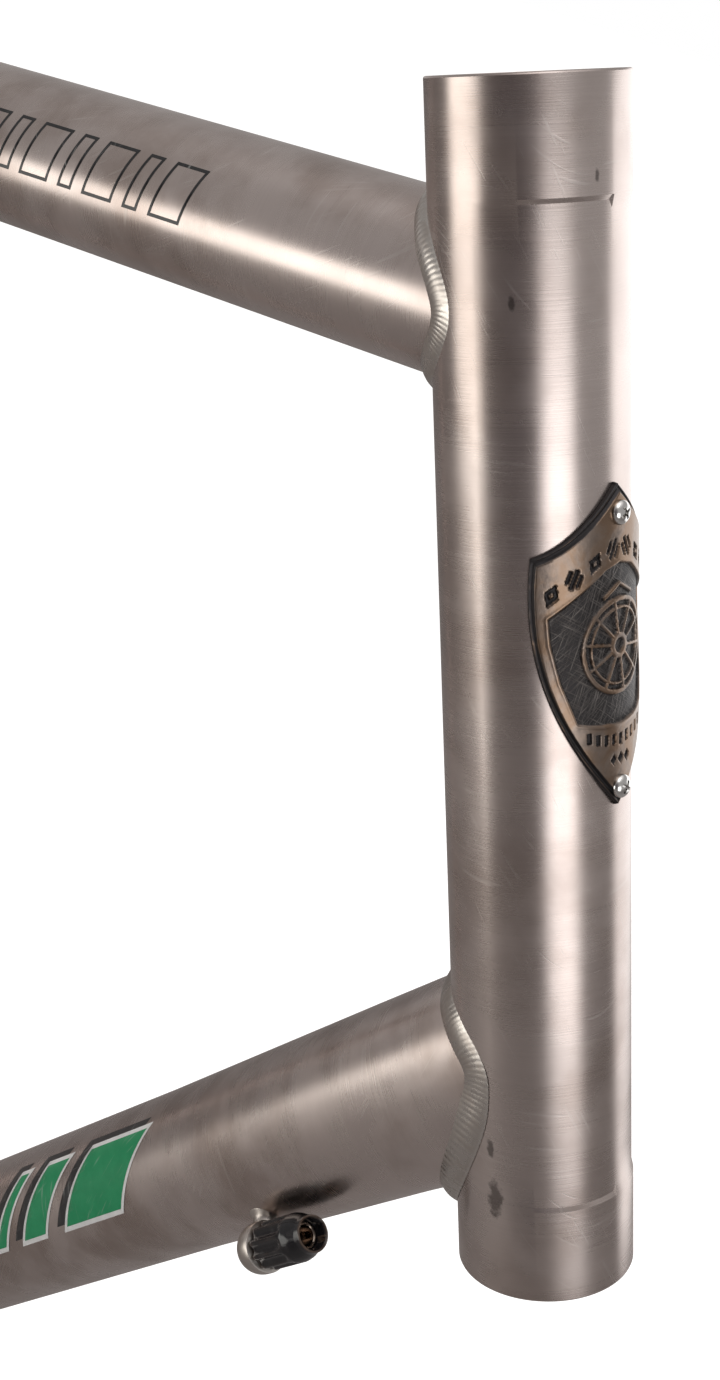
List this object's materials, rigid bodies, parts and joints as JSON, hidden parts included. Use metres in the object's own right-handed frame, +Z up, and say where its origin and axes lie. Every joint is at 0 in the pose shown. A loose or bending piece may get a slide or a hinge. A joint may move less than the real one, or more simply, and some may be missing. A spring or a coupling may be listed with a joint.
{
  "type": "bicycle frame",
  "caption": "Welded titanium road bicycle frame with a long head tube, screwed shield badge, screw-in cable adjusters, bottle bosses, cable stops and plate dropouts.",
  "frame": {"origin": "centre of the bottom bracket shell, on the frame's middle plane", "axes": "+X towards the front wheel, +Y to the rider's left, +Z up; the chain side is at -Y"},
  "size_m": [0.8759, 0.1534, 0.6908],
  "materials": {
    "titanium_tube": "satin brushed titanium, warm grey, fine lines round the tubes, faint brown heat tints",
    "titanium_plate": "satin machined titanium plate",
    "titanium_fittings": "turned titanium, slightly brighter than the tubes",
    "badge_bronze": "antiqued cast bronze with worn brown high spots and a dark field",
    "screw_steel": "polished stainless steel",
    "barrel_brass": "dull machined brass",
    "knob_plastic": "glossy black moulded plastic",
    "guide_plastic": "matt black moulded plastic",
    "collar_alloy": "satin machined aluminium"
  },
  "bodies": {
    "frame": {"adjuster_boss_left": "titanium_fittings", "adjuster_boss_right": "titanium_fittings", "badge_screw_lower": "screw_steel", "badge_screw_upper": "screw_steel", "bottle_bolt_down_tube_lower": "screw_steel", "bottle_bolt_down_tube_upper": "screw_steel", "bottle_bolt_seat_tube_lower": "screw_steel", "bottle_bolt_seat_tube_upper": "screw_steel", "bottle_boss_down_tube_lower": "titanium_fittings", "bottle_boss_down_tube_upper": "titanium_fittings", "bottle_boss_seat_tube_lower": "titanium_fittings", "bottle_boss_seat_tube_upper": "titanium_fittings", "bottom_bracket_shell": "titanium_tube", "bracket_cable_guide": "guide_plastic", "bracket_guide_screw": "screw_steel", "brake_bridge": "titanium_tube", "brake_bridge_bushing": "titanium_fittings", "brake_cable_stop_front": "titanium_fittings", "brake_cable_stop_rear": "titanium_fittings", "chainstay_bridge": "titanium_tube", "chainstay_left": "titanium_tube", "chainstay_right": "titanium_tube", "down_tube": "titanium_tube", "dropout_left": "titanium_plate", "dropout_right": "titanium_plate", "gear_cable_stop": "titanium_fittings", "head_badge": "badge_bronze", "head_tube": "titanium_tube", "seat_collar": "collar_alloy", "seat_collar_bolt": "screw_steel", "seat_collar_nut": "screw_steel", "seat_tube": "titanium_tube", "seatstay_left": "titanium_tube", "seatstay_right": "titanium_tube", "top_tube": "titanium_tube"},
    "adjuster_seat_right": {"adjuster_seat_right": "screw_steel"},
    "adjuster_right": {"adjuster_knob_right": "knob_plastic", "adjuster_barrel_right": "barrel_brass"},
    "adjuster_seat_left": {"adjuster_seat_left": "screw_steel"},
    "adjuster_left": {"adjuster_knob_left": "knob_plastic", "adjuster_barrel_left": "barrel_brass"}
  },
  "joints": [
    {"name": "adjuster_right_travel", "type": "slide", "parent": "frame", "child": "adjuster_seat_right", "axis": [0.6614, 0, 0.75], "range_m": [0, 0.004]},
    {"name": "adjuster_right_turn", "type": "hinge", "parent": "adjuster_seat_right", "child": "adjuster_right", "pos_m": [0.36818, -0.02154, 0.38817], "axis": [0.6614, 0, 0.75], "range_deg": [0, 1800]},
    {"name": "adjuster_left_travel", "type": "slide", "parent": "frame", "child": "adjuster_seat_left", "axis": [0.6614, 0, 0.75], "range_m": [0, 0.004]},
    {"name": "adjuster_left_turn", "type": "hinge", "parent": "adjuster_seat_left", "child": "adjuster_left", "pos_m": [0.36818, 0.02154, 0.38817], "axis": [0.6614, 0, 0.75], "range_deg": [0, 1800]}
  ],
  "couplings": [
    {"joint": "adjuster_right_turn", "follows": "adjuster_right_travel", "rad_per_m": 7854},
    {"joint": "adjuster_left_turn", "follows": "adjuster_left_travel", "rad_per_m": 7854}
  ]
}
